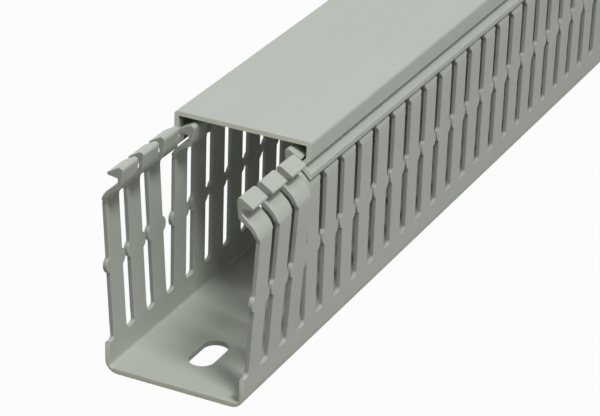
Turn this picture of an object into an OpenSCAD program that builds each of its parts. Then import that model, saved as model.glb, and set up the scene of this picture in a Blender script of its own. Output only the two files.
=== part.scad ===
// Slotted wire duct, 40 x 60 mm: an open channel with slotted side walls and
// a clip-on cover, both extruded rigid PVC. One length of cut stock.
// Frame: +X along the duct, away from the end where the cover is set back,
// +Z up, origin in the middle of the underside.

/* [Duct] */
// Length of the duct
duct_len = 1000; // [200:50:2000]
// Outside width over the side walls
duct_w = 40; // [30:1:80]
// Thickness of the side walls and fingers
wall_t = 1.3; // [1.1:0.1:1.5]
// Thickness of the base
base_t = 1.6; // [1.2:0.1:2.4]
// Outside radius of the two bottom corners
corner_r = 3.6; // [2.8:0.1:5]

/* [Slots] */
// Distance from one slot to the next
slot_pitch = 10.5; // [8:0.5:14]
// Width of a slot between its straight sides
slot_w = 4; // [3:0.1:5]
// Height of the slots' bottom edges above the underside
slot_z = 8.5; // [7:0.5:14]
// Radius in the two bottom corners of a slot
slot_r = 1.2; // [0.6:0.1:1.4]
// Centre of the first slot from the near end: the saw has cut through it
first_slot = 0.6; // [0.5:0.1:1.5]
// Height of the middle of the retaining nubs
nub_z = 29.3; // [22:0.1:36]
// Height of a nub where it leaves the finger's edge
nub_h = 4.5; // [4:0.1:7]
// Gap left between two facing nubs
nub_gap = 1; // [0.4:0.1:1.6]
// Width of a slot between the finger tops, which are wider than the fingers
head_gap = 2.6; // [2:0.1:2.8]
// Height where the fingers start to widen
shoulder_z = 47.2; // [46.8:0.1:48]

/* [Finger tops] */
// Height where a finger starts to bend inwards
neck_z = 46; // [45.5:0.1:46.3]
// Outside radius of that bend
neck_r = 6; // [5:0.1:6.4]
// Angle of the neck from upright
neck_a = 52; // [48:1:54]
// How far in the neck brings the finger's outer face
neck_in = 5.35; // [5.2:0.05:5.5]
// Radius at the bottom of the snap groove
groove_r = 0.6; // [0.4:0.1:0.8]
// Height of the hook's underside where it leaves the bar
hook_z = 54.4; // [54.2:0.1:54.5]
// Height of the bar's inner lower corner
foot_z = 51.7; // [51.5:0.05:51.9]
// Angle by which the bar's inner face leans in, from upright
bar_a = 9; // [7:1:12]
// Height of the hook's tip
tip_z = 55.4; // [55.3:0.1:55.5]
// Distance of the hook's tip from the finger's outer face
tip_in = 2.4; // [2.3:0.1:2.6]
// Radius of the hook's tip
tip_r = 0.5; // [0.4:0.1:0.6]
// Radius along the inner top edge of the fingers
top_r = 1; // [0.8:0.1:1.1]
// Distance of the bar's inner face from the finger's outer face, at its widest
bar_in = 7.05; // [6.95:0.05:7.15]
// Height of the top of the fingers
top_z = 57.5; // [57.3:0.1:57.8]

/* [Free fingers] */
// Number of fingers at the near end that the cover leaves free
free_fingers = 3; // [0:1:8]
// Outward lean of the free fingers on the +Y wall, in degrees
lean_left = 3.4; // [0:0.1:5]
// Outward lean of the free fingers on the -Y wall, in degrees
lean_right = 3.6; // [0:0.1:5]

/* [Base slots] */
// Width of a fixing slot in the base
fix_w = 7; // [4:0.5:8]
// Length of a fixing slot, end to end
fix_len = 14.5; // [10:0.5:16]
// Centre of the first fixing slot from the near end
fix_first = 19; // [14:0.5:30]
// Distance between fixing slots
fix_pitch = 100; // [50:10:100]

/* [Cover] */
// Height of the cover's top face above the duct's underside
cover_z = 60; // [60:0.1:60.4]
// Distance of the cover's near edge from the duct's near end
cover_back = 34.9; // [1:0.1:80]
// Thickness of the cover
cover_t = 1.3; // [1.1:0.1:1.4]
// Distance of the cover's skirt inside the duct's outer faces
skirt_in = 0.3; // [0:0.1:0.5]
// Outside radius along the cover's top edges
cover_r = 1.2; // [0.8:0.1:1.3]
// Height of the bottom of the groove along the skirt
crease_z = 53.1; // [53:0.1:53.2]
// Depth of that groove from the skirt's face
crease_d = 1.7; // [1.6:0.1:1.7]
// Height of the cover's lower edges
lip_z = 49.6; // [49.5:0.1:49.8]
// Thickness of the cover at its lower edges
lip_t = 0.5; // [0.4:0.1:0.6]

/* [Hidden] */
$fn = 48;
half_w = duct_w / 2;
near_x = -duct_len / 2;
slots = floor((duct_len - first_slot + slot_w / 2) / slot_pitch);
slot_x = near_x + first_slot;
free_end = slot_x + free_fingers * slot_pitch;
// one nub is an arc of this radius, standing this far off the finger's edge
nub_reach = (slot_w - nub_gap) / 2;
nub_r = (nub_h * nub_h / 4 + nub_reach * nub_reach) / (2 * nub_reach);
// the neck's straight length, so that its outer face ends neck_in from the wall's
neck_len = (neck_in - (neck_r + groove_r) * (1 - cos(neck_a))) / sin(neck_a);
bar_z = neck_z + (neck_r + groove_r) * sin(neck_a) + neck_len * cos(neck_a);
groove_mid = [neck_in - groove_r, bar_z];
// middles of the rounds on the bar and on the hook's tip, which way the hook's
// sloping top faces, and the lower corner of the bar's leaning inner face
bar_mid = [bar_in - top_r, top_z - top_r];
tip_mid = [tip_in + tip_r, tip_z];
slope_a = atan2(bar_mid[1] - tip_mid[1], bar_mid[0] - tip_mid[0])
    + acos((tip_r - top_r) / norm(bar_mid - tip_mid));
slope_out = [cos(slope_a), sin(slope_a)];
foot = [bar_mid[0] + top_r * cos(bar_a) - (bar_mid[1] - top_r * sin(bar_a) - foot_z) * tan(bar_a), foot_z];
// the end of the neck's bend on the face of radius r
function bend_end(r) = [neck_r - r * cos(neck_a), neck_z + r * sin(neck_a)];
// how far the bends stand proud of the flat strips that they join
bend_lap = 0.02;

// A bend between two straight strips: a ring sector from angle a0 to a1, turned
// about the origin, with the given radii on its hollow and its full side. It
// stands bend_lap proud of the strips and runs into them at both ends.
module bend(r_in, r_out, a0, a1) {
    ri = r_in - bend_lap;
    ro = r_out + bend_lap;
    run_in = acos(ri / r_in) + 2;
    far = 2 * ro;
    am = (a0 + a1) / 2;
    intersection() {
        difference() {
            circle(r = ro);
            circle(r = ri);
        }
        polygon([[0, 0], far * [cos(a0 - run_in), sin(a0 - run_in)],
                 far * [cos(am), sin(am)], far * [cos(a1 + run_in), sin(a1 + run_in)]]);
    }
}

// Section of one finger above height z0: outer face on u = 0, inwards is +u.
// Wall and bend, then neck, bar and the hook that faces out over the groove.
module finger_section(z0) {
    t = wall_t;
    translate([0, z0]) square([t, neck_z - z0]);
    translate([neck_r, neck_z]) bend(neck_r - t, neck_r, 180 - neck_a, 180);
    difference() {
        union() {
            polygon([bend_end(neck_r - t), foot, bar_mid + (top_r - bend_lap) * [cos(bar_a), -sin(bar_a)],
                     bar_mid + (top_r - bend_lap) * slope_out, tip_mid + (tip_r - bend_lap) * slope_out,
                     tip_mid - [0, tip_r - bend_lap], [neck_in, hook_z], [neck_in, bar_z],
                     groove_mid + groove_r * [cos(neck_a), -sin(neck_a)], bend_end(neck_r)]);
            translate(bar_mid) circle(r = top_r);
            translate(tip_mid) circle(r = tip_r);
        }
        translate(groove_mid) circle(r = groove_r + bend_lap);
    }
}

// Section of the channel up to height z1, drawn on the right-hand half and mirrored
module channel_section(z1) {
    in_r = corner_r - wall_t;
    for (s = [0, 1]) mirror([s, 0]) difference() {
        union() {
            square([half_w - corner_r, z1]);
            translate([half_w - corner_r, corner_r]) square([corner_r, z1 - corner_r]);
            translate([half_w - corner_r, corner_r]) circle(r = corner_r);
        }
        translate([half_w - corner_r, base_t + in_r]) circle(r = in_r);
        translate([-1, base_t]) square([half_w - corner_r + 1, z1]);
        translate([-1, base_t + in_r]) square([half_w - wall_t + 1, z1]);
    }
}

// The sides of slot i that have a finger, -1 for the near side and 1 for the far
// side: at either end the saw leaves none, nor one narrower than the wall's thickness
function finger_sides(i) = [if (i > 0) -1,
                            if (slot_x + i * slot_pitch + slot_w / 2 + wall_t < -near_x) 1];

// Slot i seen from the side: rounded bottom corners and straight sides, pinched
// by the arcs of the nubs and narrower above the fingers' slanting shoulders. On a
// side that has no finger it is open to the end of the duct.
module slot_shape(i) translate([slot_x + i * slot_pitch, 0]) {
    difference() {
        union() {
            translate([-slot_w / 2, slot_z + slot_r]) square([slot_w, top_z]);
            translate([-slot_w / 2 + slot_r, slot_z]) square([slot_w - 2 * slot_r, top_z]);
            for (s = [-1, 1]) translate([s * (slot_w / 2 - slot_r), slot_z + slot_r]) circle(r = slot_r);
            if (i == 0) translate([-slot_pitch, slot_z]) square([slot_pitch, 2 * top_z]);
            if (max(finger_sides(i)) < 0) translate([0, slot_z]) square([slot_pitch, 2 * top_z]);
        }
        for (s = finger_sides(i)) mirror([s < 0 ? 1 : 0, 0]) {
            translate([nub_gap / 2 + nub_r, nub_z]) circle(r = nub_r, $fn = 96);
            polygon([[slot_w / 2, shoulder_z], [slot_w, shoulder_z], [slot_w, 2 * top_z], [head_gap / 2, 2 * top_z],
                     [head_gap / 2, shoulder_z + (slot_w - head_gap) / 2]]);
        }
    }
}

// Extrudes a Y-Z section along X
module along_x(x0, len) {
    translate([x0, 0, 0]) rotate([90, 0, 90]) linear_extrude(height = len) children();
}

// Extrudes an X-Z outline through both walls
module across_y() {
    translate([0, duct_w, 0]) rotate([90, 0, 0]) linear_extrude(height = 2 * duct_w) children();
}

// The free fingers of one wall, leaning out by a degrees; s is 1 for +Y, -1 for -Y
module free_group(s, a) {
    root_z = slot_z - 1;
    translate([0, s * half_w, slot_z - 0.5]) rotate([-s * a, 0, 0])
        translate([0, -s * half_w, -(slot_z - 0.5)])
            difference() {
                along_x(near_x, free_end - near_x)
                    mirror([s > 0 ? 1 : 0, 0]) translate([-half_w, 0]) finger_section(root_z);
                across_y() for (i = [0:free_fingers]) slot_shape(i);
            }
}

module duct_body() color([0.62, 0.64, 0.59]) {
    difference() {
        union() {
            difference() {
                along_x(near_x, duct_len) {
                    channel_section(slot_z + 2);
                    for (s = [0, 1]) mirror([s, 0]) translate([-half_w, 0]) finger_section(slot_z + 1);
                }
                across_y() {
                    translate([near_x - 1, slot_z]) square([free_end - near_x + 1, top_z]);
                    for (i = [free_fingers:slots]) slot_shape(i);
                }
            }
            free_group(1, lean_left);
            free_group(-1, lean_right);
        }
        for (x = [near_x + fix_first:fix_pitch:-near_x - fix_len]) translate([x, 0, -1])
            linear_extrude(height = base_t + 2) {
                for (s = [-1, 1]) translate([s * (fix_len - fix_w) / 2, 0]) circle(d = fix_w);
                square([fix_len - fix_w, fix_w], center = true);
            }
    }
}

// Section of one side of the cover, with the duct's outer face on u = 0 and
// inwards +u: top corner, skirt, the crease that snaps under the hooks, and the
// lip that lies along the fingers' necks
module cover_side() {
    t = cover_t;
    so = skirt_in;
    slant = t * (sqrt(2) - 1);
    difference() {
        polygon([
            [so, cover_z - cover_r], [so, crease_z + crease_d], [so + crease_d, crease_z],
            [0, crease_z - so - crease_d], [0, lip_z], [lip_t, lip_z],
            [lip_t, max(lip_z + 0.1, crease_z - so - crease_d - t - slant + lip_t)],
            [so + crease_d + t, crease_z - slant], [so + crease_d + t, crease_z + slant],
            [so + t, crease_z + crease_d + slant], [so + t, cover_z - t],
            [so + cover_r + 1, cover_z - t], [so + cover_r + 1, cover_z], [so, cover_z]
        ]);
        // the rounded top edge
        difference() {
            translate([so - 1, cover_z - cover_r]) square([cover_r + 1, cover_r + 1]);
            translate([so + cover_r, cover_z - cover_r]) circle(r = cover_r);
        }
    }
}

module cover() color([0.73, 0.75, 0.71])
    along_x(near_x + cover_back, duct_len - cover_back)
        for (s = [0, 1]) mirror([s, 0]) {
            translate([-1, cover_z - cover_t]) square([half_w - skirt_in - cover_r, cover_t]);
            translate([-half_w, 0]) cover_side();
        }

duct_body();
cover();
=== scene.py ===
"""Looks for the slotted wire duct: soft-edged PVC surfaces, their finish, and a plain studio."""
import math
from types import SimpleNamespace

import bmesh
import bpy
import numpy as np
from mathutils import Matrix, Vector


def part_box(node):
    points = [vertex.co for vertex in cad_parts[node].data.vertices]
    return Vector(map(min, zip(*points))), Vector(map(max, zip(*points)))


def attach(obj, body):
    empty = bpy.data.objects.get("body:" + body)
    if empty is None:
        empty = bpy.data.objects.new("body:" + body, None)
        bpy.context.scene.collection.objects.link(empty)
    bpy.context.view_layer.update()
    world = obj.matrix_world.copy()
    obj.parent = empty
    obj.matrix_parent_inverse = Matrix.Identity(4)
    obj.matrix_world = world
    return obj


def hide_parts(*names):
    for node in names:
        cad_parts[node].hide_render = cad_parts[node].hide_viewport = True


bl_info = {
    "name": "Slotted Wire Duct",
    "version": (1, 0, 0),
    "blender": (4, 5, 0),
    "location": "3D View > Sidebar > Wire Duct",
    "description": "Dresses a slotted wire duct with extruded PVC surfaces and a studio",
    "category": "Object",
}

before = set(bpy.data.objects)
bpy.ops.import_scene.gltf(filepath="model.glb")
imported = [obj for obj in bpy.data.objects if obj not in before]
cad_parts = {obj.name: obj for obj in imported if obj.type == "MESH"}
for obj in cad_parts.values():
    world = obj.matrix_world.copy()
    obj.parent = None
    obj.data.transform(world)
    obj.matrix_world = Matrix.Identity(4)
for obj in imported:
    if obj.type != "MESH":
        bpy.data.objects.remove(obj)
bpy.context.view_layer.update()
BODY_LO, BODY_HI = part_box("duct_body")
MM = 0.001
HALF_WIDTH = 20.0                # of the duct's section, in millimetres
FLOOR_REACH = 6.0                # from the middle to the floor's edge, in metres
FLOOR_GAP = 0.2 * MM             # between the floor and the duct's underside
FLOOR_WHITE = 0.96               # share of plain white in what the camera sees of the floor
# the strip under the duct is painted shade: the floor there is drawn without its white
SHADE_HALF_WIDTH = 16.5 * MM     # of the dark strip on the floor under the duct
SHADE_SETBACK = 50 * MM          # from the duct's ends to that strip


# ---------------------------------------------------------------- finishes

def sockets(group, inputs, outputs):
    """Adds the named sockets: inputs as (name, type, default), outputs as (name, type)."""
    for name, kind, default in inputs:
        s = group.interface.new_socket(name=name, in_out="INPUT", socket_type=kind)
        s.default_value = default
    for name, kind in outputs:
        group.interface.new_socket(name=name, in_out="OUTPUT", socket_type=kind)
    return group.nodes.new("NodeGroupInput"), group.nodes.new("NodeGroupOutput")


def math_node(nodes, links, op, a, b=None, clamp=False):
    """A Math node; a and b are sockets or numbers. Returns its output."""
    n = nodes.new("ShaderNodeMath")
    n.operation = op
    n.use_clamp = clamp
    for i, v in enumerate((a, b)):
        if v is None:
            continue
        if hasattr(v, "is_output"):
            links.new(v, n.inputs[i])
        else:
            n.inputs[i].default_value = v
    return n.outputs[0]


def extrusion_streaks_group():
    """Fine lines that the die leaves along the profile: noise whose X is scaled down to Stretch of
    its size, so it changes fast across the duct and hardly at all along it. Gives a height and a mask."""
    g = bpy.data.node_groups.new("Extrusion streaks", "ShaderNodeTree")
    inp, out = sockets(g, [("Vector", "NodeSocketVector", (0, 0, 0)), ("Lines per metre", "NodeSocketFloat", 900.0),
                           ("Stretch", "NodeSocketFloat", 0.012)],
                       [("Height", "NodeSocketFloat"), ("Mask", "NodeSocketFloat")])
    nodes, links = g.nodes, g.links
    scale = nodes.new("ShaderNodeCombineXYZ")
    links.new(math_node(nodes, links, "MULTIPLY", inp.outputs["Lines per metre"], inp.outputs["Stretch"]),
              scale.inputs[0])
    links.new(inp.outputs["Lines per metre"], scale.inputs[1])
    links.new(inp.outputs["Lines per metre"], scale.inputs[2])
    squeeze = nodes.new("ShaderNodeVectorMath")
    squeeze.operation = "MULTIPLY"
    links.new(inp.outputs["Vector"], squeeze.inputs[0])
    links.new(scale.outputs[0], squeeze.inputs[1])
    fine = nodes.new("ShaderNodeTexNoise")
    fine.inputs["Scale"].default_value = 1.0
    fine.inputs["Detail"].default_value = 3.0
    links.new(squeeze.outputs[0], fine.inputs["Vector"])
    links.new(fine.outputs["Fac"], out.inputs["Height"])
    broad = nodes.new("ShaderNodeTexNoise")
    broad.inputs["Scale"].default_value = 0.16
    broad.inputs["Detail"].default_value = 2.0
    links.new(squeeze.outputs[0], broad.inputs["Vector"])
    links.new(broad.outputs["Fac"], out.inputs["Mask"])
    return g


# painted shade: share of the colour that the punched sides of the slots lose, standing in for the shade inside the
# slots
PUNCHED_PAINTED_SHADE = 0.15


def cut_face_group():
    """Marks the sawn ends, which lie at half a length from the middle, and the punched sides of the slots: the
    surface faces along X on both. The material uses the punched mask for painted shade. Height carries the marks of
    the blade."""
    g = bpy.data.node_groups.new("Sawn face", "ShaderNodeTree")
    inp, out = sockets(g, [("Vector", "NodeSocketVector", (0, 0, 0)), ("Half length", "NodeSocketFloat", 0.5),
                           ("Marks per metre", "NodeSocketFloat", 900.0)],
                       [("Sawn", "NodeSocketFloat"), ("Punched", "NodeSocketFloat"), ("Height", "NodeSocketFloat")])
    nodes, links = g.nodes, g.links
    geo = nodes.new("ShaderNodeNewGeometry")
    split = nodes.new("ShaderNodeSeparateXYZ")
    links.new(geo.outputs["True Normal"], split.inputs[0])
    along = math_node(nodes, links, "ABSOLUTE", split.outputs[0])
    mask = math_node(nodes, links, "GREATER_THAN", along, 0.9)
    place = nodes.new("ShaderNodeSeparateXYZ")
    links.new(inp.outputs["Vector"], place.inputs[0])
    beyond = math_node(nodes, links, "SUBTRACT", math_node(nodes, links, "ABSOLUTE", place.outputs[0]),
                       inp.outputs["Half length"])
    end = math_node(nodes, links, "GREATER_THAN", beyond, -0.4 * MM)
    sawn = math_node(nodes, links, "MULTIPLY", mask, end)
    links.new(sawn, out.inputs["Sawn"])
    links.new(math_node(nodes, links, "SUBTRACT", mask, sawn), out.inputs["Punched"])
    wave = nodes.new("ShaderNodeTexWave")
    wave.wave_type = "BANDS"
    wave.bands_direction = "DIAGONAL"
    wave.inputs["Distortion"].default_value = 3.0
    wave.inputs["Detail"].default_value = 3.0
    links.new(inp.outputs["Marks per metre"], wave.inputs["Scale"])
    links.new(inp.outputs["Vector"], wave.inputs["Vector"])
    links.new(math_node(nodes, links, "MULTIPLY", wave.outputs["Fac"], mask), out.inputs["Height"])
    return g


def pvc_material(name, tint, end_tint_and_front_light, half_length, roughness, streaks, cut):
    """Rigid light-grey PVC: cloudy colour, die lines, a satin sheen, painted shade on the punched sides of the
    slots, and rougher sawn ends whose lighter tint is partly the sawn PVC's own and partly painted light from the
    front.
    """
    m = bpy.data.materials.new(name)
    m.use_nodes = True
    nodes, links = m.node_tree.nodes, m.node_tree.links
    bsdf = nodes["Principled BSDF"]
    where = nodes.new("ShaderNodeTexCoord").outputs["Object"]

    lines = nodes.new("ShaderNodeGroup")
    lines.node_tree = streaks
    links.new(where, lines.inputs["Vector"])
    sawn = nodes.new("ShaderNodeGroup")
    sawn.node_tree = cut
    links.new(where, sawn.inputs["Vector"])
    sawn.inputs["Half length"].default_value = half_length

    cloud = nodes.new("ShaderNodeTexNoise")
    cloud.inputs["Scale"].default_value = 34.0
    cloud.inputs["Detail"].default_value = 4.0
    cloud.inputs["Roughness"].default_value = 0.55
    links.new(where, cloud.inputs["Vector"])
    speck = nodes.new("ShaderNodeTexNoise")
    speck.inputs["Scale"].default_value = 2600.0
    speck.inputs["Detail"].default_value = 2.0
    links.new(where, speck.inputs["Vector"])

    # value over the surface: 1 with a few percent of cloud, streak and speck
    value = math_node(nodes, links, "MULTIPLY_ADD", cloud.outputs["Fac"], 0.05)
    value.node.inputs[2].default_value = 0.975
    streak = math_node(nodes, links, "MULTIPLY_ADD", lines.outputs["Mask"], 0.045)
    streak.node.inputs[2].default_value = -0.0225
    value = math_node(nodes, links, "ADD", value, streak)
    grain = math_node(nodes, links, "MULTIPLY_ADD", speck.outputs["Fac"], 0.03)
    grain.node.inputs[2].default_value = -0.015
    value = math_node(nodes, links, "ADD", value, grain)
    # painted shade: the punched sides of the slots are darkened for the shade that falls inside the slots
    value = math_node(nodes, links, "SUBTRACT", value,
                      math_node(nodes, links, "MULTIPLY", sawn.outputs["Punched"], PUNCHED_PAINTED_SHADE))
    # the sawn ends take their own tint: partly the sawn PVC's lighter cream, partly painted light from the front
    ends = nodes.new("ShaderNodeMix")
    ends.data_type = "RGBA"
    links.new(sawn.outputs["Sawn"], ends.inputs["Factor"])
    ends.inputs[6].default_value = (*tint, 1)
    ends.inputs[7].default_value = (*end_tint_and_front_light, 1)
    tinted = nodes.new("ShaderNodeVectorMath")
    tinted.operation = "SCALE"
    links.new(ends.outputs[2], tinted.inputs[0])
    links.new(value, tinted.inputs["Scale"])
    links.new(tinted.outputs[0], bsdf.inputs["Base Color"])

    rough = math_node(nodes, links, "MULTIPLY_ADD", lines.outputs["Height"], 0.08)
    rough.node.inputs[2].default_value = roughness - 0.04
    rough = math_node(nodes, links, "ADD", rough,
                      math_node(nodes, links, "MULTIPLY", sawn.outputs["Sawn"], 0.2), clamp=True)
    links.new(rough, bsdf.inputs["Roughness"])

    relief = math_node(nodes, links, "MULTIPLY", lines.outputs["Height"], 0.6)
    relief = math_node(nodes, links, "ADD", relief, sawn.outputs["Height"])
    relief = math_node(nodes, links, "ADD", relief, math_node(nodes, links, "MULTIPLY", speck.outputs["Fac"], 0.5))
    bump = nodes.new("ShaderNodeBump")
    bump.inputs["Strength"].default_value = 0.25
    bump.inputs["Distance"].default_value = 0.02 * MM
    links.new(relief, bump.inputs["Height"])
    links.new(bump.outputs[0], bsdf.inputs["Normal"])
    bsdf.inputs["IOR"].default_value = 1.5
    bsdf.inputs["Specular IOR Level"].default_value = 0.2
    return m


# ---------------------------------------------------------------- shapes, worked out in millimetres

def arc(mid, radius, a0, a1, n):
    """n + 1 points on a circle about mid, from angle a0 to a1 in degrees."""
    a = np.radians(np.linspace(a0, a1, n + 1))
    return np.stack([mid[0] + radius * np.cos(a), mid[1] + radius * np.sin(a)], axis=1)


def outward(path, closed=False):
    """Unit normals of a (u, z) path, to its left, lengthened at corners so that an inset keeps its width."""
    step = np.diff(np.vstack([path[-1:], path, path[:1]]) if closed else
                   np.vstack([2 * path[:1] - path[1:2], path, 2 * path[-1:] - path[-2:-1]]), axis=0)
    step /= np.linalg.norm(step, axis=1, keepdims=True)
    left = np.stack([-step[:, 1], step[:, 0]], axis=1)
    both = left[:-1] + left[1:]
    both /= np.linalg.norm(both, axis=1, keepdims=True)
    return both / np.maximum((both * left[1:]).sum(axis=1, keepdims=True), 0.5)


def quads(grid, i_closed=False, j_closed=False):
    """Index quads of a grid of point numbers (rows, columns), for any number of leading axes."""
    i = grid if not i_closed else np.concatenate([grid, grid[..., :1, :]], axis=-2)
    i = i if not j_closed else np.concatenate([i, i[..., :1]], axis=-1)
    q = np.stack([i[..., :-1, :-1], i[..., 1:, :-1], i[..., 1:, 1:], i[..., :-1, 1:]], axis=-1)
    return q.reshape(-1, 4)


class Skin:
    """Gathers points and faces; points that fall together become one, and the closed mesh is turned outward."""

    def __init__(self):
        self.points, self.faces, self.count = [], [], 0

    def add(self, points, *faces):
        """Adds an array of points (..., 3) and lists of faces that number them from 0."""
        points = np.asarray(points, float).reshape(-1, 3)
        self.points.append(points)
        for f in faces:
            self.faces.extend((np.asarray(f) + self.count).tolist())
        self.count += len(points)

    def grid(self, points, i_closed=False, j_closed=False):
        """Adds a grid of points (..., rows, columns, 3) and its quads."""
        n = np.arange(np.prod(points.shape[:-1])).reshape(points.shape[:-1])
        self.add(points, quads(n, i_closed, j_closed))

    def mesh(self, name):
        """The merged mesh in metres. It raises an error where an edge doesn't have two faces."""
        pts = np.concatenate(self.points)
        _, first, back = np.unique(np.round(pts * 1000 + 0.317).astype(np.int64), axis=0,
                                   return_index=True, return_inverse=True)
        back = back.ravel()
        faces = []
        for f in self.faces:
            g = [int(back[i]) for i in f]
            g = [p for k, p in enumerate(g) if p != g[k - 1]]
            if len(g) > 2:
                faces.append(g)
        m = bpy.data.meshes.new(name)
        m.from_pydata((pts[first] * MM).tolist(), [], faces)
        bm = bmesh.new()
        bm.from_mesh(m)
        bmesh.ops.delete(bm, geom=[v for v in bm.verts if not v.link_faces], context="VERTS")
        open_edges = sum(len(e.link_faces) != 2 for e in bm.edges)
        if open_edges:
            raise RuntimeError(f"{name}: {open_edges} edges don't have two faces")
        bmesh.ops.recalc_face_normals(bm, faces=bm.faces)
        if bm.calc_volume(signed=True) < 0:
            bmesh.ops.reverse_faces(bm, faces=bm.faces)
        bm.to_mesh(m)
        bm.free()
        m.shade_smooth()
        return m


def stand(mesh, body, material, *nodes):
    """Puts a mesh in the scene as a piece that rides a body and stands for CAD nodes."""
    o = bpy.data.objects.new(mesh.name, mesh)
    bpy.context.scene.collection.objects.link(o)
    mesh.materials.append(material)
    even = o.modifiers.new("even_faces", "WEIGHTED_NORMAL")
    even.weight = 50
    even.keep_sharp = False
    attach(o, body)
    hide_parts(*nodes)
    return o


# the quarter round along every rim, as its angle from the cut face to the broad face
RIM_STEPS = np.radians([0.0, 45.0, 90.0])


def finger_rows(k):
    """One finger seen as a closed band. Returns outer rows (u, z), inner rows (u, z), head points (u, z), and for
    every row the half width X of the slot beside it and the way (mx, mz) from the slot into the finger. The slot
    narrows over the shoulder's two rows, which lie at the same heights on the outer and the inner face."""
    corner = np.radians(np.linspace(-90, 0, 5))
    reach = (k.slot_w - k.nub_gap) / 2
    nub_r = (k.nub_h ** 2 / 4 + reach ** 2) / (2 * reach)
    full = math.degrees(math.asin(k.nub_h / 2 / nub_r))
    nub = np.radians(np.linspace(-full, full, 9))
    x = np.concatenate([k.slot_w / 2 - k.slot_r + k.slot_r * np.cos(corner), [k.slot_w / 2],
                        k.nub_gap / 2 + nub_r - nub_r * np.cos(nub), [k.slot_w / 2]])
    z = np.concatenate([k.slot_z + k.slot_r + k.slot_r * np.sin(corner), [k.slot_z + 4],
                        k.nub_z + nub_r * np.sin(nub), [38.0]])
    mx = np.concatenate([np.cos(corner), [1], np.cos(nub), [1]])
    mz = np.concatenate([np.sin(corner), [0], -np.sin(nub), [0]])
    # where a nub leaves the straight edge, the way in is halved between the two
    for i in (6, 14):
        half = np.radians(full) / 2
        mx[i], mz[i] = 1.0, np.sign(-mz[i]) * -math.tan(half)
    a = math.radians(k.neck_a)
    shoulder = np.array([k.shoulder_z, k.shoulder_z + (k.slot_w - k.head_gap) / 2])
    run = (k.neck_in - (k.neck_r + k.groove_r) * (1 - math.cos(a))) / math.sin(a)
    bar_z = k.neck_z + (k.neck_r + k.groove_r) * math.sin(a) + run * math.cos(a)
    back = np.radians(np.linspace(-k.neck_a, 0, 3))

    def face(depth):
        r1, r2 = k.neck_r - depth, k.groove_r + depth
        low, high = np.arcsin((shoulder - k.neck_z) / r1)
        turn = np.concatenate([[0, low, high], high + (a - high) * np.array([0.35, 0.7, 1])])
        wall = np.stack([np.full(len(z), depth), z], axis=1)
        neck = np.stack([k.neck_r - r1 * np.cos(turn), k.neck_z + r1 * np.sin(turn)], axis=1)
        bar = np.stack([k.neck_in - k.groove_r + r2 * np.cos(back), bar_z + r2 * np.sin(back)], axis=1)
        return np.vstack([wall, neck, bar])

    outer, inner = face(0.0), face(k.wall_t)
    # under the bar the inner side runs straight from the bend to the bar's foot, and then up its leaning face
    lean = math.radians(k.bar_a)
    bar_mid = np.array([k.bar_in - k.top_r, k.top_z - k.top_r])
    high = bar_mid + k.top_r * np.array([math.cos(lean), -math.sin(lean)])
    foot = np.array([high[0] - (high[1] - k.foot_z) * math.tan(lean), k.foot_z])
    bend_end = inner[-4]
    inner[-3:] = [bend_end + 0.5 * (foot - bend_end), foot, foot + 0.45 * (high - foot)]
    extra = len(outer) - len(x)
    x = np.concatenate([x, [k.slot_w / 2] * 2, np.full(extra - 2, k.head_gap / 2)])
    mx = np.concatenate([mx, np.ones(extra)])
    mz = np.concatenate([mz, [0], [math.tan(math.pi / 8)] * 2, np.zeros(extra - 3)])
    tip_mid = np.array([k.tip_in + k.tip_r, k.tip_z])
    way = bar_mid - tip_mid
    slope = math.degrees(math.atan2(way[1], way[0]) + math.acos((k.tip_r - k.top_r) / np.hypot(*way)))
    head = np.vstack([[[k.neck_in, k.hook_z]], arc(tip_mid, k.tip_r, 270, slope, 4),
                      arc(bar_mid, k.top_r, slope, -k.bar_a, 5)])
    return outer, inner, head, x, mx, mz


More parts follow.
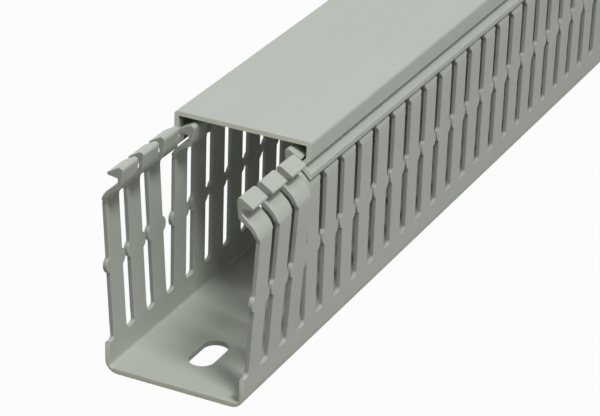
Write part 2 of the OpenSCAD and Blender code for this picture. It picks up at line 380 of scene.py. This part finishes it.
def duct_skin(k):
    """The slotted duct as one closed skin. A finger is a band: the loop of its side view (outer face, hook, top,
    inner face) carried across its width, with a quarter round of radius rim on both edges, and a ladder of quads
    between its outer and inner rows as each cut side. Below the slots' floors the section's path is carried along
    X through the fingers' columns, and the flat base is filled round the rims of its fixing slots."""
    skin = Skin()
    outer, inner, head, half, mx, mz = finger_rows(k)
    rows, top = len(outer), len(head)
    loop = np.vstack([outer, head, inner[::-1]])                 # up the outside, over the top, down the inside
    n = outward(loop)                                            # to the left of that way is outwards
    n[0], n[-1] = (-1, 0), (1, 0)
    lift = np.concatenate([mz, np.zeros(top), mz[::-1]])
    inward = np.concatenate([mx, np.ones(top), mx[::-1]])
    edge = np.concatenate([half, np.full(top, k.head_gap / 2), half[::-1]])
    d, e = k.rim * (1 - np.cos(RIM_STEPS)), k.rim * (1 - np.sin(RIM_STEPS))
    u = loop[:, None, 0] - e * n[:, None, 0]                     # (loop, ring)
    z = loop[:, None, 1] - e * n[:, None, 1] + d * lift[:, None]
    x = edge[:, None] + d * inward[:, None]
    pitch = k.slot_pitch
    first = k.slot_x + pitch * np.arange(k.fingers)
    for s in (1, -1):
        lean = np.zeros(k.fingers)
        lean[:k.free_fingers] = math.radians(k.lean_left if s > 0 else k.lean_right)
        # columns: three rings at the near side, three at the far side
        fx = np.concatenate([first[:, None, None] + x, first[:, None, None] + pitch - x[:, ::-1]], axis=2)
        fu = np.broadcast_to(np.concatenate([u, u[:, ::-1]], axis=1), fx.shape)
        fz = np.broadcast_to(np.concatenate([z, z[:, ::-1]], axis=1), fx.shape)
        root = k.slot_z - 0.5
        grow = np.clip((fz - root - 0.5) / 4, 0, 1)
        a = lean[:, None, None] * grow * grow * (3 - 2 * grow)
        out = -fu * np.cos(a) + (fz - root) * np.sin(a)          # outwards of the wall's face
        up = root + fu * np.sin(a) + (fz - root) * np.cos(a)
        pts = np.stack([fx, s * (k.half_w + out), up], axis=-1)  # (finger, loop, column, 3)
        skin.grid(pts)
        for col in (0, 5):
            face = pts[:, :, col]
            low, high = face[:, :rows], face[:, :-rows - 1:-1]
            skin.grid(np.stack([low, high], axis=2))
            ring = face[:, rows - 1:rows + top + 1]
            skin.add(ring, np.arange(ring.shape[0] * ring.shape[1]).reshape(ring.shape[:2]))
        # slot floors: from the far side of one finger to the near side of the next
        ends = np.concatenate([pts[:, :1], pts[:, -1:]], axis=1)[:, :, :, None]      # (finger, out/in, col, 1, 3)
        a0, b0 = ends[:-1, :, 3:], ends[1:, :, 2::-1]
        strip = np.concatenate([a0, b0], axis=3)                                     # (slot, out/in, ring, 2, 3)
        skin.grid(strip.reshape(-1, 3, 2, 3))
        skin.grid(strip[:, :, 2])
        for x_end, sign, side, f in ((k.near_x, 1, ends[0, :, :3], 0), (-k.near_x, -1, ends[-1, :, :2:-1], -1)):
            rim_x = np.broadcast_to(x_end + sign * d[None, :, None], side.shape[:-1])
            stop = np.stack([rim_x, side[..., 1], side[..., 2]], axis=-1)
            strip = np.concatenate([side, stop], axis=2)
            skin.grid(strip)
            skin.grid(strip[:, 0])
    # the channel below the floors: rows over the whole section, outside and inside
    def half_path(depth):
        r, low = (k.inner_r, k.base_t) if depth else (k.corner_r, 0.0)
        up = [[depth, k.slot_z - k.rim]]
        return np.vstack([up, arc((depth + r, low + r), r, 180, 270, 7), [[k.half_w, low]]])

    paths = []
    for depth in (0.0, k.wall_t):
        p = half_path(depth)
        p = np.stack([k.half_w - p[:, 0], p[:, 1]], axis=1)          # y, z on the +Y side
        paths.append(np.vstack([p, p[-2::-1] * (-1, 1)]))
    columns = np.sort(np.concatenate([first + k.slot_w / 2 - k.slot_r,
                                      first + pitch - k.slot_w / 2 + k.slot_r]))
    for p, sign in ((paths[0], 1), (paths[1], -1)):
        nn = outward(p) * sign                                       # outwards of the skin
        nn[0], nn[-1] = (sign, 0), (-sign, 0)
        cols = []
        for x_end, way in ((k.near_x, 1), (-k.near_x, -1)):
            q = p[:, None] - e[None, :, None] * nn[:, None]
            q[0, :, 1] = q[-1, :, 1] = k.slot_z - d                  # the rims meet at the corner of the cut
            xx = np.broadcast_to(x_end + way * d, q.shape[:2])
            cols.append(np.concatenate([xx[..., None], q], axis=2))
        mid = np.empty((len(p), len(columns), 3))
        mid[..., 0], mid[..., 1:] = columns, p[:, None]
        g = np.concatenate([cols[0], mid, cols[1][:, ::-1]], axis=1)
        m = len(p) // 2
        skin.grid(g[:m])
        skin.grid(g[m + 1:])
        skin.grid(g[m - 1:m + 2, :3])
        skin.grid(g[m - 1:m + 2, -3:])
        fill_base(skin, k, g[m - 1, 2:-2], g[m + 1, 2:-2], sign)
        if sign > 0:
            outs = g[:, 0], g[:, -1]
        else:
            for a_row, b_row in zip(outs, (g[:, 0], g[:, -1])):
                skin.grid(np.stack([a_row, b_row], axis=1))
    for hx in k.holes:
        skin.grid(hole_rings(k, hx), j_closed=True)
    return skin.mesh("duct_shell")


def hole_rings(k, hx):
    """Rings of an oblong fixing slot from the underside's face through the base to the inner face."""
    a = np.radians(np.concatenate([np.linspace(-90, 90, 13), np.linspace(90, 270, 13)]))
    side = np.repeat([1, -1], 13) * (k.fix_len - k.fix_w) / 2
    out = k.rim * (1 - np.cos(RIM_STEPS))[::-1]
    deep = k.rim * (1 - np.sin(RIM_STEPS))[::-1]
    r = k.fix_w / 2 + np.concatenate([out, out[::-1]])
    z = np.concatenate([deep, k.base_t - deep[::-1]])
    x = hx + side + r[:, None] * np.cos(a)
    y = r[:, None] * np.sin(a)
    return np.stack([x, y, np.broadcast_to(z[:, None], x.shape)], axis=-1)


def fill_base(skin, k, left, right, sign):
    """The flat base between its two long edges, as one face on each side of every fixing slot."""
    cuts = [0] + [int(np.argmin(abs(left[:, 0] - (a + b) / 2))) for a, b in zip(k.holes[:-1], k.holes[1:])] \
        + [len(left) - 1]
    for hx, a, b in zip(k.holes, cuts[:-1], cuts[1:]):
        ring = hole_rings(k, hx)[0 if sign > 0 else -1]
        ends = np.array([[left[a, 0], 0, left[a, 2]], [left[b, 0], 0, left[b, 2]]])
        off_axis = 1e-3 * abs(ring[:, 1])
        right_most, left_most = np.argmax(ring[:, 0] - off_axis), np.argmin(ring[:, 0] + off_axis)
        upper = ring[right_most:left_most + 1]
        lower = np.concatenate([ring[left_most:], ring[:right_most + 1]])
        one = np.vstack([left[a:b + 1], ends[1:], upper, ends[:1]])
        two = np.vstack([right[a:b + 1][::-1], ends[:1], lower, ends[1:]])
        for poly in (one, two):
            skin.add(poly, [np.arange(len(poly))])


def lid_skin(k):
    """The cover as one closed skin: its section, a loop with every corner rounded, carried along X, with a quarter
    round at both cut ends."""
    t, so, q = k.cover_t, k.skirt_in, k.crease_z
    slant = t * (math.sqrt(2) - 1)
    c = q - so - k.crease_d
    side = np.array([
        [0, k.lip_z], [0, c], [so + k.crease_d, q], [so, q + k.crease_d], [so, k.cover_z]])
    back = np.array([
        [so + t, k.cover_z - t], [so + t, q + k.crease_d + slant], [so + k.crease_d + t, q + slant],
        [so + k.crease_d + t, q - slant], [k.lip_t, c - t - slant + k.lip_t], [k.lip_t, k.lip_z]])
    soft = [0.24, 0.35, 0.3, 0.35, k.cover_r, 0.3, 0.4, 0.3, 0.3, 0.4, 0.24]
    near = lambda p: np.stack([k.half_w - p[:, 0], p[:, 1]], axis=1)
    left, inner = near(side), near(back)
    flip = (-1, 1)
    loop = np.vstack([left, left[::-1] * flip, inner[::-1] * flip, inner])
    radii = soft[:5] + soft[4::-1] + soft[:4:-1] + soft[5:]
    loop = round_corners(loop, radii)
    n = -outward(loop, closed=True)                              # the loop runs clockwise
    rim = min(k.rim, k.lip_t / 10)                               # more would cross in the lips' corners
    d, e = rim * (1 - np.cos(RIM_STEPS)), rim * (1 - np.sin(RIM_STEPS))
    skin = Skin()
    parts = []
    for x_end, way in ((k.near_x + k.cover_back, 1), (-k.near_x, -1)):
        p = loop[:, None] - e[None, :, None] * n[:, None]
        x = np.broadcast_to(x_end + way * d, p.shape[:2])
        parts.append(np.concatenate([x[..., None], p], axis=2))
    g = np.concatenate([parts[0], parts[1][:, ::-1]], axis=1)
    skin.grid(g, i_closed=True)
    for col in (0, -1):
        skin.add(g[:, col], [np.arange(len(g))])
    return skin.mesh("cover_shell")


def round_corners(points, radii, n=4):
    """A closed outline with each corner replaced by n + 1 points of a curve that leaves and meets its two sides
    at the round's length from the corner: (1-t)^2 A + 2 t (1-t) corner + t^2 B."""
    p = np.asarray(points, float)
    before, after = np.roll(p, 1, axis=0) - p, np.roll(p, -1, axis=0) - p
    la, lb = np.linalg.norm(before, axis=1), np.linalg.norm(after, axis=1)
    cos = (before * after).sum(axis=1) / (la * lb)
    cut = np.asarray(radii) / np.tan(np.arccos(np.clip(cos, -1, 1)) / 2)
    cut = np.minimum(cut, 0.48 * np.minimum(la, lb))
    a, b = p + before * (cut / la)[:, None], p + after * (cut / lb)[:, None]
    t = np.linspace(0, 1, n + 1)[None, :, None]
    return ((1 - t) ** 2 * a[:, None] + 2 * t * (1 - t) * p[:, None] + t ** 2 * b[:, None]).reshape(-1, 2)


# ---------------------------------------------------------------- settings

class DuctFinish(bpy.types.PropertyGroup):
    """Colours and sheen of the two extrusions"""
    body_colour: bpy.props.FloatVectorProperty(
        name="Duct colour", description="Colour of the slotted duct",
        subtype="COLOR", size=3, min=0, max=1, default=(0.462, 0.495, 0.438))
    # sawn-end tint of the duct: partly the PVC's lighter cream where it is sawn, partly painted light from the front
    body_end_and_front_light: bpy.props.FloatVectorProperty(
        name="Duct end colour", description="Colour of the duct's sawn ends",
        subtype="COLOR", size=3, min=0, max=1, default=(0.62, 0.62, 0.51))
    lid_colour: bpy.props.FloatVectorProperty(
        name="Cover colour", description="Colour of the cover",
        subtype="COLOR", size=3, min=0, max=1, default=(0.472, 0.508, 0.455))
    # sawn-end tint of the cover: partly the PVC's lighter cream where it is sawn, partly painted light from the
    # front, more than on the duct
    lid_end_and_front_light: bpy.props.FloatVectorProperty(
        name="Cover end colour", description="Colour of the cover's sawn ends",
        subtype="COLOR", size=3, min=0, max=1, default=(0.78, 0.79, 0.66))
    roughness: bpy.props.FloatProperty(
        name="Roughness", description="Roughness of the extruded faces", min=0.05, max=1, default=0.45)


def length(name, description, mm):
    """A length property whose default is given in millimetres."""
    return bpy.props.FloatProperty(name=name, description=description, default=mm * MM, min=0, unit="LENGTH",
                                   precision=5)


def angle(name, description, degrees):
    """An angle property whose default is given in degrees."""
    return bpy.props.FloatProperty(name=name, description=description, default=math.radians(degrees), min=0,
                                   subtype="ANGLE", unit="ROTATION")


class DuctShape(bpy.types.PropertyGroup):
    """Sizes of the duct and its cover"""
    wall_t: length("Wall", "Thickness of the walls and fingers", 1.3)
    base_t: length("Base", "Thickness of the base", 1.6)
    corner_r: length("Corner", "Outside radius of the bottom corners", 3.6)
    inner_r: length("Inner corner", "Inside radius of the bottom corners", 1)
    slot_pitch: length("Slot pitch", "Distance from one slot to the next", 10.5)
    slot_w: length("Slot width", "Width of a slot between its straight sides", 4)
    slot_z: length("Slot floor", "Height of the slots' floors", 8.5)
    slot_r: length("Slot corner", "Radius in a slot's bottom corners", 1.2)
    first_slot: length("First slot", "Centre of the sawn slot from the near end", 0.6)
    nub_z: length("Nub height", "Height of the middle of the retaining nubs", 29.3)
    nub_h: length("Nub length", "Height of a nub where it leaves the finger", 4.5)
    nub_gap: length("Nub gap", "Gap between two facing nubs", 1)
    head_gap: length("Top gap", "Width of a slot between the finger tops", 2.6)
    shoulder_z: length("Shoulder", "Height where the fingers start to widen", 47.2)
    neck_z: length("Neck", "Height where a finger starts to bend in", 46)
    neck_r: length("Neck bend", "Outside radius of that bend", 6)
    neck_a: angle("Neck angle", "Angle of the neck from upright", 52)
    neck_in: length("Neck reach", "How far in the neck brings the outer face", 5.35)
    groove_r: length("Groove", "Radius at the bottom of the groove", 0.6)
    hook_z: length("Hook", "Height of the hook's underside at the bar", 54.4)
    tip_z: length("Hook tip height", "Height of the hook's tip", 55.4)
    tip_in: length("Hook tip", "Distance of the hook's tip from the outer face", 2.4)
    tip_r: length("Hook tip round", "Radius of the hook's tip", 0.5)
    foot_z: length("Bar foot", "Height of the bar's inner lower corner", 51.7)
    bar_a: angle("Bar lean", "Angle by which the bar's inner face leans in", 9)
    bar_in: length("Bar", "Distance of the bar's inner face from the outer face, at its widest", 7.05)
    top_r: length("Top round", "Radius along the inner top edge", 1)
    top_z: length("Finger top", "Height of the top of the fingers", 57.5)
    lean_left: angle("Left lean", "Outward lean of the free fingers on +Y", 3.4)
    lean_right: angle("Right lean", "Outward lean of the free fingers on -Y", 3.6)
    fix_w: length("Fixing slot width", "Width of a fixing slot", 7)
    fix_len: length("Fixing slot length", "Length of a fixing slot", 14.5)
    fix_first: length("First fixing slot", "Centre of the first fixing slot from the near end", 19)
    fix_pitch: length("Fixing pitch", "Distance between fixing slots", 100)
    cover_z: length("Cover top", "Height of the cover's top face", 60)
    cover_back: length("Cover set back", "Distance of the cover's edge from the near end", 34.9)
    cover_t: length("Cover wall", "Thickness of the cover", 1.3)
    skirt_in: length("Skirt", "Distance of the skirt inside the duct's faces", 0.3)
    cover_r: length("Cover edge", "Outside radius of the cover's top edges", 1.2)
    crease_z: length("Crease", "Height of the bottom of the crease", 53.1)
    crease_d: length("Crease depth", "Depth of the crease", 1.7)
    lip_z: length("Lip", "Height of the cover's lower edges", 49.6)
    lip_t: length("Lip wall", "Thickness of the cover at its lower edges", 0.5)
    rim: length("Soft edge", "Radius of the quarter round along cut edges", 0.2)
    free_fingers: bpy.props.IntProperty(name="Free fingers", description="Fingers that the cover leaves free",
                                        default=3, min=0)


def sizes(context):
    """The duct's sizes in millimetres and degrees, with the ones that follow from them."""
    shape = context.scene.duct_shape
    angles = ("neck_a", "bar_a", "lean_left", "lean_right")
    values = {n: getattr(shape, n) for n in DuctShape.__annotations__}
    k = SimpleNamespace(**{n: math.degrees(v) if n in angles else v if n == "free_fingers" else round(v / MM, 5)
                           for n, v in values.items()})
    k.near_x = BODY_LO[0] / MM
    length_mm = (BODY_HI[0] - BODY_LO[0]) / MM
    k.half_w = HALF_WIDTH
    k.slot_x = k.near_x + k.first_slot
    k.fingers = int((length_mm - k.first_slot + k.slot_w / 2) // k.slot_pitch)
    k.holes = np.arange(k.near_x + k.fix_first, -k.near_x - k.fix_len, k.fix_pitch)
    return k


class DuctStudio(bpy.types.PropertyGroup):
    """Camera, lamps and floor"""
    lens: bpy.props.FloatProperty(
        name="Lens", description="Focal length on a 36 mm sensor, in millimetres", min=20, max=400, default=155.316)
    camera_place: bpy.props.FloatVectorProperty(
        name="Camera place", description="Where the camera stands", size=3, subtype="TRANSLATION", unit="LENGTH",
        default=(-0.998432, -0.274544, 0.332997))
    main: bpy.props.FloatProperty(
        name="Main lamp", description="Power of the small box high in front on the right", min=0, default=11.3,
        unit="POWER")
    overhead: bpy.props.FloatProperty(
        name="Overhead lamp", description="Power of the wide box above the duct", min=0, default=4.0, unit="POWER")
    front: bpy.props.FloatProperty(
        name="Front lamp", description="Power of the box high in front", min=0, default=2.8, unit="POWER")
    side: bpy.props.FloatProperty(
        name="Side lamp", description="Power of the box low on the right", min=0, default=3.0, unit="POWER")
    behind: bpy.props.FloatProperty(
        name="Back lamp", description="Power of the box behind on the left", min=0, default=9.0, unit="POWER")
    ambient: bpy.props.FloatProperty(
        name="Ambient light", description="Strength of the even light from all round", min=0, default=0.04)


# ---------------------------------------------------------------- operators

class WIREDUCT_OT_body(bpy.types.Operator):
    """Makes the slotted duct with soft rims in its extruded PVC finish"""
    bl_idname = "wire_duct.body"
    bl_label = "Make the duct"

    def execute(self, context):
        look = context.scene.duct_finish
        m = pvc_material("grey_pvc_duct", tuple(look.body_colour), tuple(look.body_end_and_front_light), BODY_HI[0], look.roughness,
                         bpy.data.node_groups["Extrusion streaks"], bpy.data.node_groups["Sawn face"])
        stand(duct_skin(sizes(context)), "duct", m, "duct_body")
        return {"FINISHED"}


class WIREDUCT_OT_lid(bpy.types.Operator):
    """Makes the cover with soft rims in its extruded PVC finish"""
    bl_idname = "wire_duct.lid"
    bl_label = "Make the cover"

    def execute(self, context):
        look = context.scene.duct_finish
        half = BODY_HI[0] - context.scene.duct_shape.cover_back
        m = pvc_material("grey_pvc_cover", tuple(look.lid_colour), tuple(look.lid_end_and_front_light), half, look.roughness,
                         bpy.data.node_groups["Extrusion streaks"], bpy.data.node_groups["Sawn face"])
        stand(lid_skin(sizes(context)), "lid", m, "cover")
        return {"FINISHED"}


class WIREDUCT_OT_effects(bpy.types.Operator):
    """Builds the shader groups that both finishes use"""
    bl_idname = "wire_duct.effects"
    bl_label = "Build shared effects"

    def execute(self, context):
        extrusion_streaks_group()
        cut_face_group()
        return {"FINISHED"}


def soft_box(name, place, target, size, power):
    """A square area lamp at place that faces target."""
    lamp = bpy.data.lights.new(name, "AREA")
    lamp.shape = "RECTANGLE"
    lamp.size, lamp.size_y = size
    lamp.energy = power
    o = bpy.data.objects.new(name, lamp)
    bpy.context.scene.collection.objects.link(o)
    back = np.array(place, float) - np.array(target, float)
    back /= np.linalg.norm(back)
    side = np.cross((0, 1, 0) if abs(back[2]) > 0.95 else (0, 0, 1), back)
    side /= np.linalg.norm(side)
    up = np.cross(back, side)
    o.matrix_world = Matrix([[side[i], up[i], back[i], place[i]] for i in range(3)] + [[0, 0, 0, 1]])
    return o


class WIREDUCT_OT_studio(bpy.types.Operator):
    """Makes the floor, the lamps and the camera"""
    bl_idname = "wire_duct.studio"
    bl_label = "Make the studio"

    def execute(self, context):
        scene, look = context.scene, context.scene.duct_studio
        # floor: a large square just under the duct
        z = BODY_LO[2] - FLOOR_GAP
        r = FLOOR_REACH
        mesh = bpy.data.meshes.new("floor")
        mesh.from_pydata([(-r, -r, z), (r, -r, z), (r, r, z), (-r, r, z)], [], [(0, 1, 2, 3)])
        floor = bpy.data.objects.new("floor", mesh)
        scene.collection.objects.link(floor)
        m = bpy.data.materials.new("white_paper")
        m.use_nodes = True
        nodes, links = m.node_tree.nodes, m.node_tree.links
        bsdf, end = nodes["Principled BSDF"], nodes["Material Output"]
        bsdf.inputs["Base Color"].default_value = (0.35, 0.35, 0.35, 1)
        bsdf.inputs["Roughness"].default_value = 1.0
        bsdf.inputs["Specular IOR Level"].default_value = 0.0
        glow = nodes.new("ShaderNodeEmission")
        glow.inputs["Color"].default_value = (1, 1, 1, 1)
        path = nodes.new("ShaderNodeLightPath")
        seen = math_node(nodes, links, "MAXIMUM", path.outputs["Is Camera Ray"], path.outputs["Is Glossy Ray"])
        seen = math_node(nodes, links, "MAXIMUM", seen, path.outputs["Is Transmission Ray"])
        share = math_node(nodes, links, "MULTIPLY", seen, FLOOR_WHITE)
        # painted shade: the strip under the duct isn't drawn white, so no bright spot shows through the fixing slots
        spot = nodes.new("ShaderNodeSeparateXYZ")
        links.new(nodes.new("ShaderNodeTexCoord").outputs["Object"], spot.inputs[0])
        beside = math_node(nodes, links, "GREATER_THAN", math_node(nodes, links, "ABSOLUTE", spot.outputs[1]),
                           SHADE_HALF_WIDTH)
        before = math_node(nodes, links, "GREATER_THAN", math_node(nodes, links, "ABSOLUTE", spot.outputs[0]),
                           BODY_HI[0] - SHADE_SETBACK)
        share = math_node(nodes, links, "MULTIPLY", share, math_node(nodes, links, "MAXIMUM", beside, before))
        mix = nodes.new("ShaderNodeMixShader")
        links.new(share, mix.inputs[0])
        links.new(bsdf.outputs[0], mix.inputs[1])
        links.new(glow.outputs[0], mix.inputs[2])
        links.new(mix.outputs[0], end.inputs["Surface"])
        mesh.materials.append(m)

        world = bpy.data.worlds.new("studio")
        scene.world = world
        world.use_nodes = True
        wn, wl = world.node_tree.nodes, world.node_tree.links
        path = wn.new("ShaderNodeLightPath")
        seen = math_node(wn, wl, "MAXIMUM", path.outputs["Is Camera Ray"], path.outputs["Is Glossy Ray"])
        seen = math_node(wn, wl, "MAXIMUM", seen, path.outputs["Is Transmission Ray"])
        strength = math_node(wn, wl, "MULTIPLY_ADD", seen, 1.0 - look.ambient)
        strength.node.inputs[2].default_value = look.ambient
        wn["Background"].inputs["Color"].default_value = (1, 1, 1, 1)
        wl.new(strength, wn["Background"].inputs["Strength"])

        near = BODY_LO[0]
        # name, place and target from the middle of the near end, size, power
        for name, place, target, size, power in (
                ("main", (-0.3, -0.6, 1.2), (0, 0, 0.03), (0.3, 0.3), look.main),
                ("overhead", (0.3, 0, 1.3), (0.3, 0, 0), (1.8, 1.4), look.overhead),
                ("front", (-0.6, 0, 1.2), (0, 0, 0.03), (0.6, 0.6), look.front),
                ("side", (-0.6, -1.3, 0.9), (0, 0, 0.03), (0.5, 0.5), look.side),
                ("behind", (1.2, 1.8, 0.5), (0.6, 0, 0.03), (1.0, 0.6), look.behind)):
            soft_box(name, (near + place[0], *place[1:]), (near + target[0], *target[1:]), size, power)

        cam = bpy.data.cameras.new("camera")
        cam.lens = look.lens
        cam.sensor_width = 36
        cam.clip_start, cam.clip_end = 0.05, 30
        o = bpy.data.objects.new("camera", cam)
        scene.collection.objects.link(o)
        right = (0.44786099, -0.89358713, 0.03037382)
        down = (-0.38331781, -0.22258603, -0.89639440)
        ahead = (0.80776729, 0.38981726, -0.44221546)
        o.matrix_world = Matrix([[right[i], -down[i], -ahead[i], look.camera_place[i]] for i in range(3)]
                                + [[0, 0, 0, 1]])
        scene.camera = o
        scene.view_settings.view_transform = "Standard"
        return {"FINISHED"}


class WIREDUCT_PT_sidebar(bpy.types.Panel):
    """Lists the duct's settings and the steps that build it"""
    bl_label = "Slotted Wire Duct"
    bl_idname = "WIREDUCT_PT_sidebar"
    bl_space_type = "VIEW_3D"
    bl_region_type = "UI"
    bl_category = "Wire Duct"

    def draw(self, context):
        for group, steps in (("duct_shape", ()),
                             ("duct_finish", ("wire_duct.effects", "wire_duct.body", "wire_duct.lid")),
                             ("duct_studio", ("wire_duct.studio",))):
            col = self.layout.column(align=True)
            settings = getattr(context.scene, group)
            for key in settings.bl_rna.properties.keys():
                if key not in {"rna_type", "name"}:
                    col.prop(settings, key)
            for step in steps:
                col.operator(step)


CLASSES = (DuctShape, DuctFinish, DuctStudio, WIREDUCT_OT_effects, WIREDUCT_OT_body, WIREDUCT_OT_lid,
           WIREDUCT_OT_studio, WIREDUCT_PT_sidebar)


def register():
    for c in CLASSES:
        bpy.utils.register_class(c)
    bpy.types.Scene.duct_shape = bpy.props.PointerProperty(type=DuctShape)
    bpy.types.Scene.duct_finish = bpy.props.PointerProperty(type=DuctFinish)
    bpy.types.Scene.duct_studio = bpy.props.PointerProperty(type=DuctStudio)


def unregister():
    del bpy.types.Scene.duct_studio
    del bpy.types.Scene.duct_finish
    del bpy.types.Scene.duct_shape
    for c in reversed(CLASSES):
        bpy.utils.unregister_class(c)


def main():
    """Builds everything in order."""
    register()
    for step in (bpy.ops.wire_duct.effects, bpy.ops.wire_duct.body, bpy.ops.wire_duct.lid, bpy.ops.wire_duct.studio):
        step()
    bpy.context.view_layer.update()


if __name__ == "__main__":
    main()
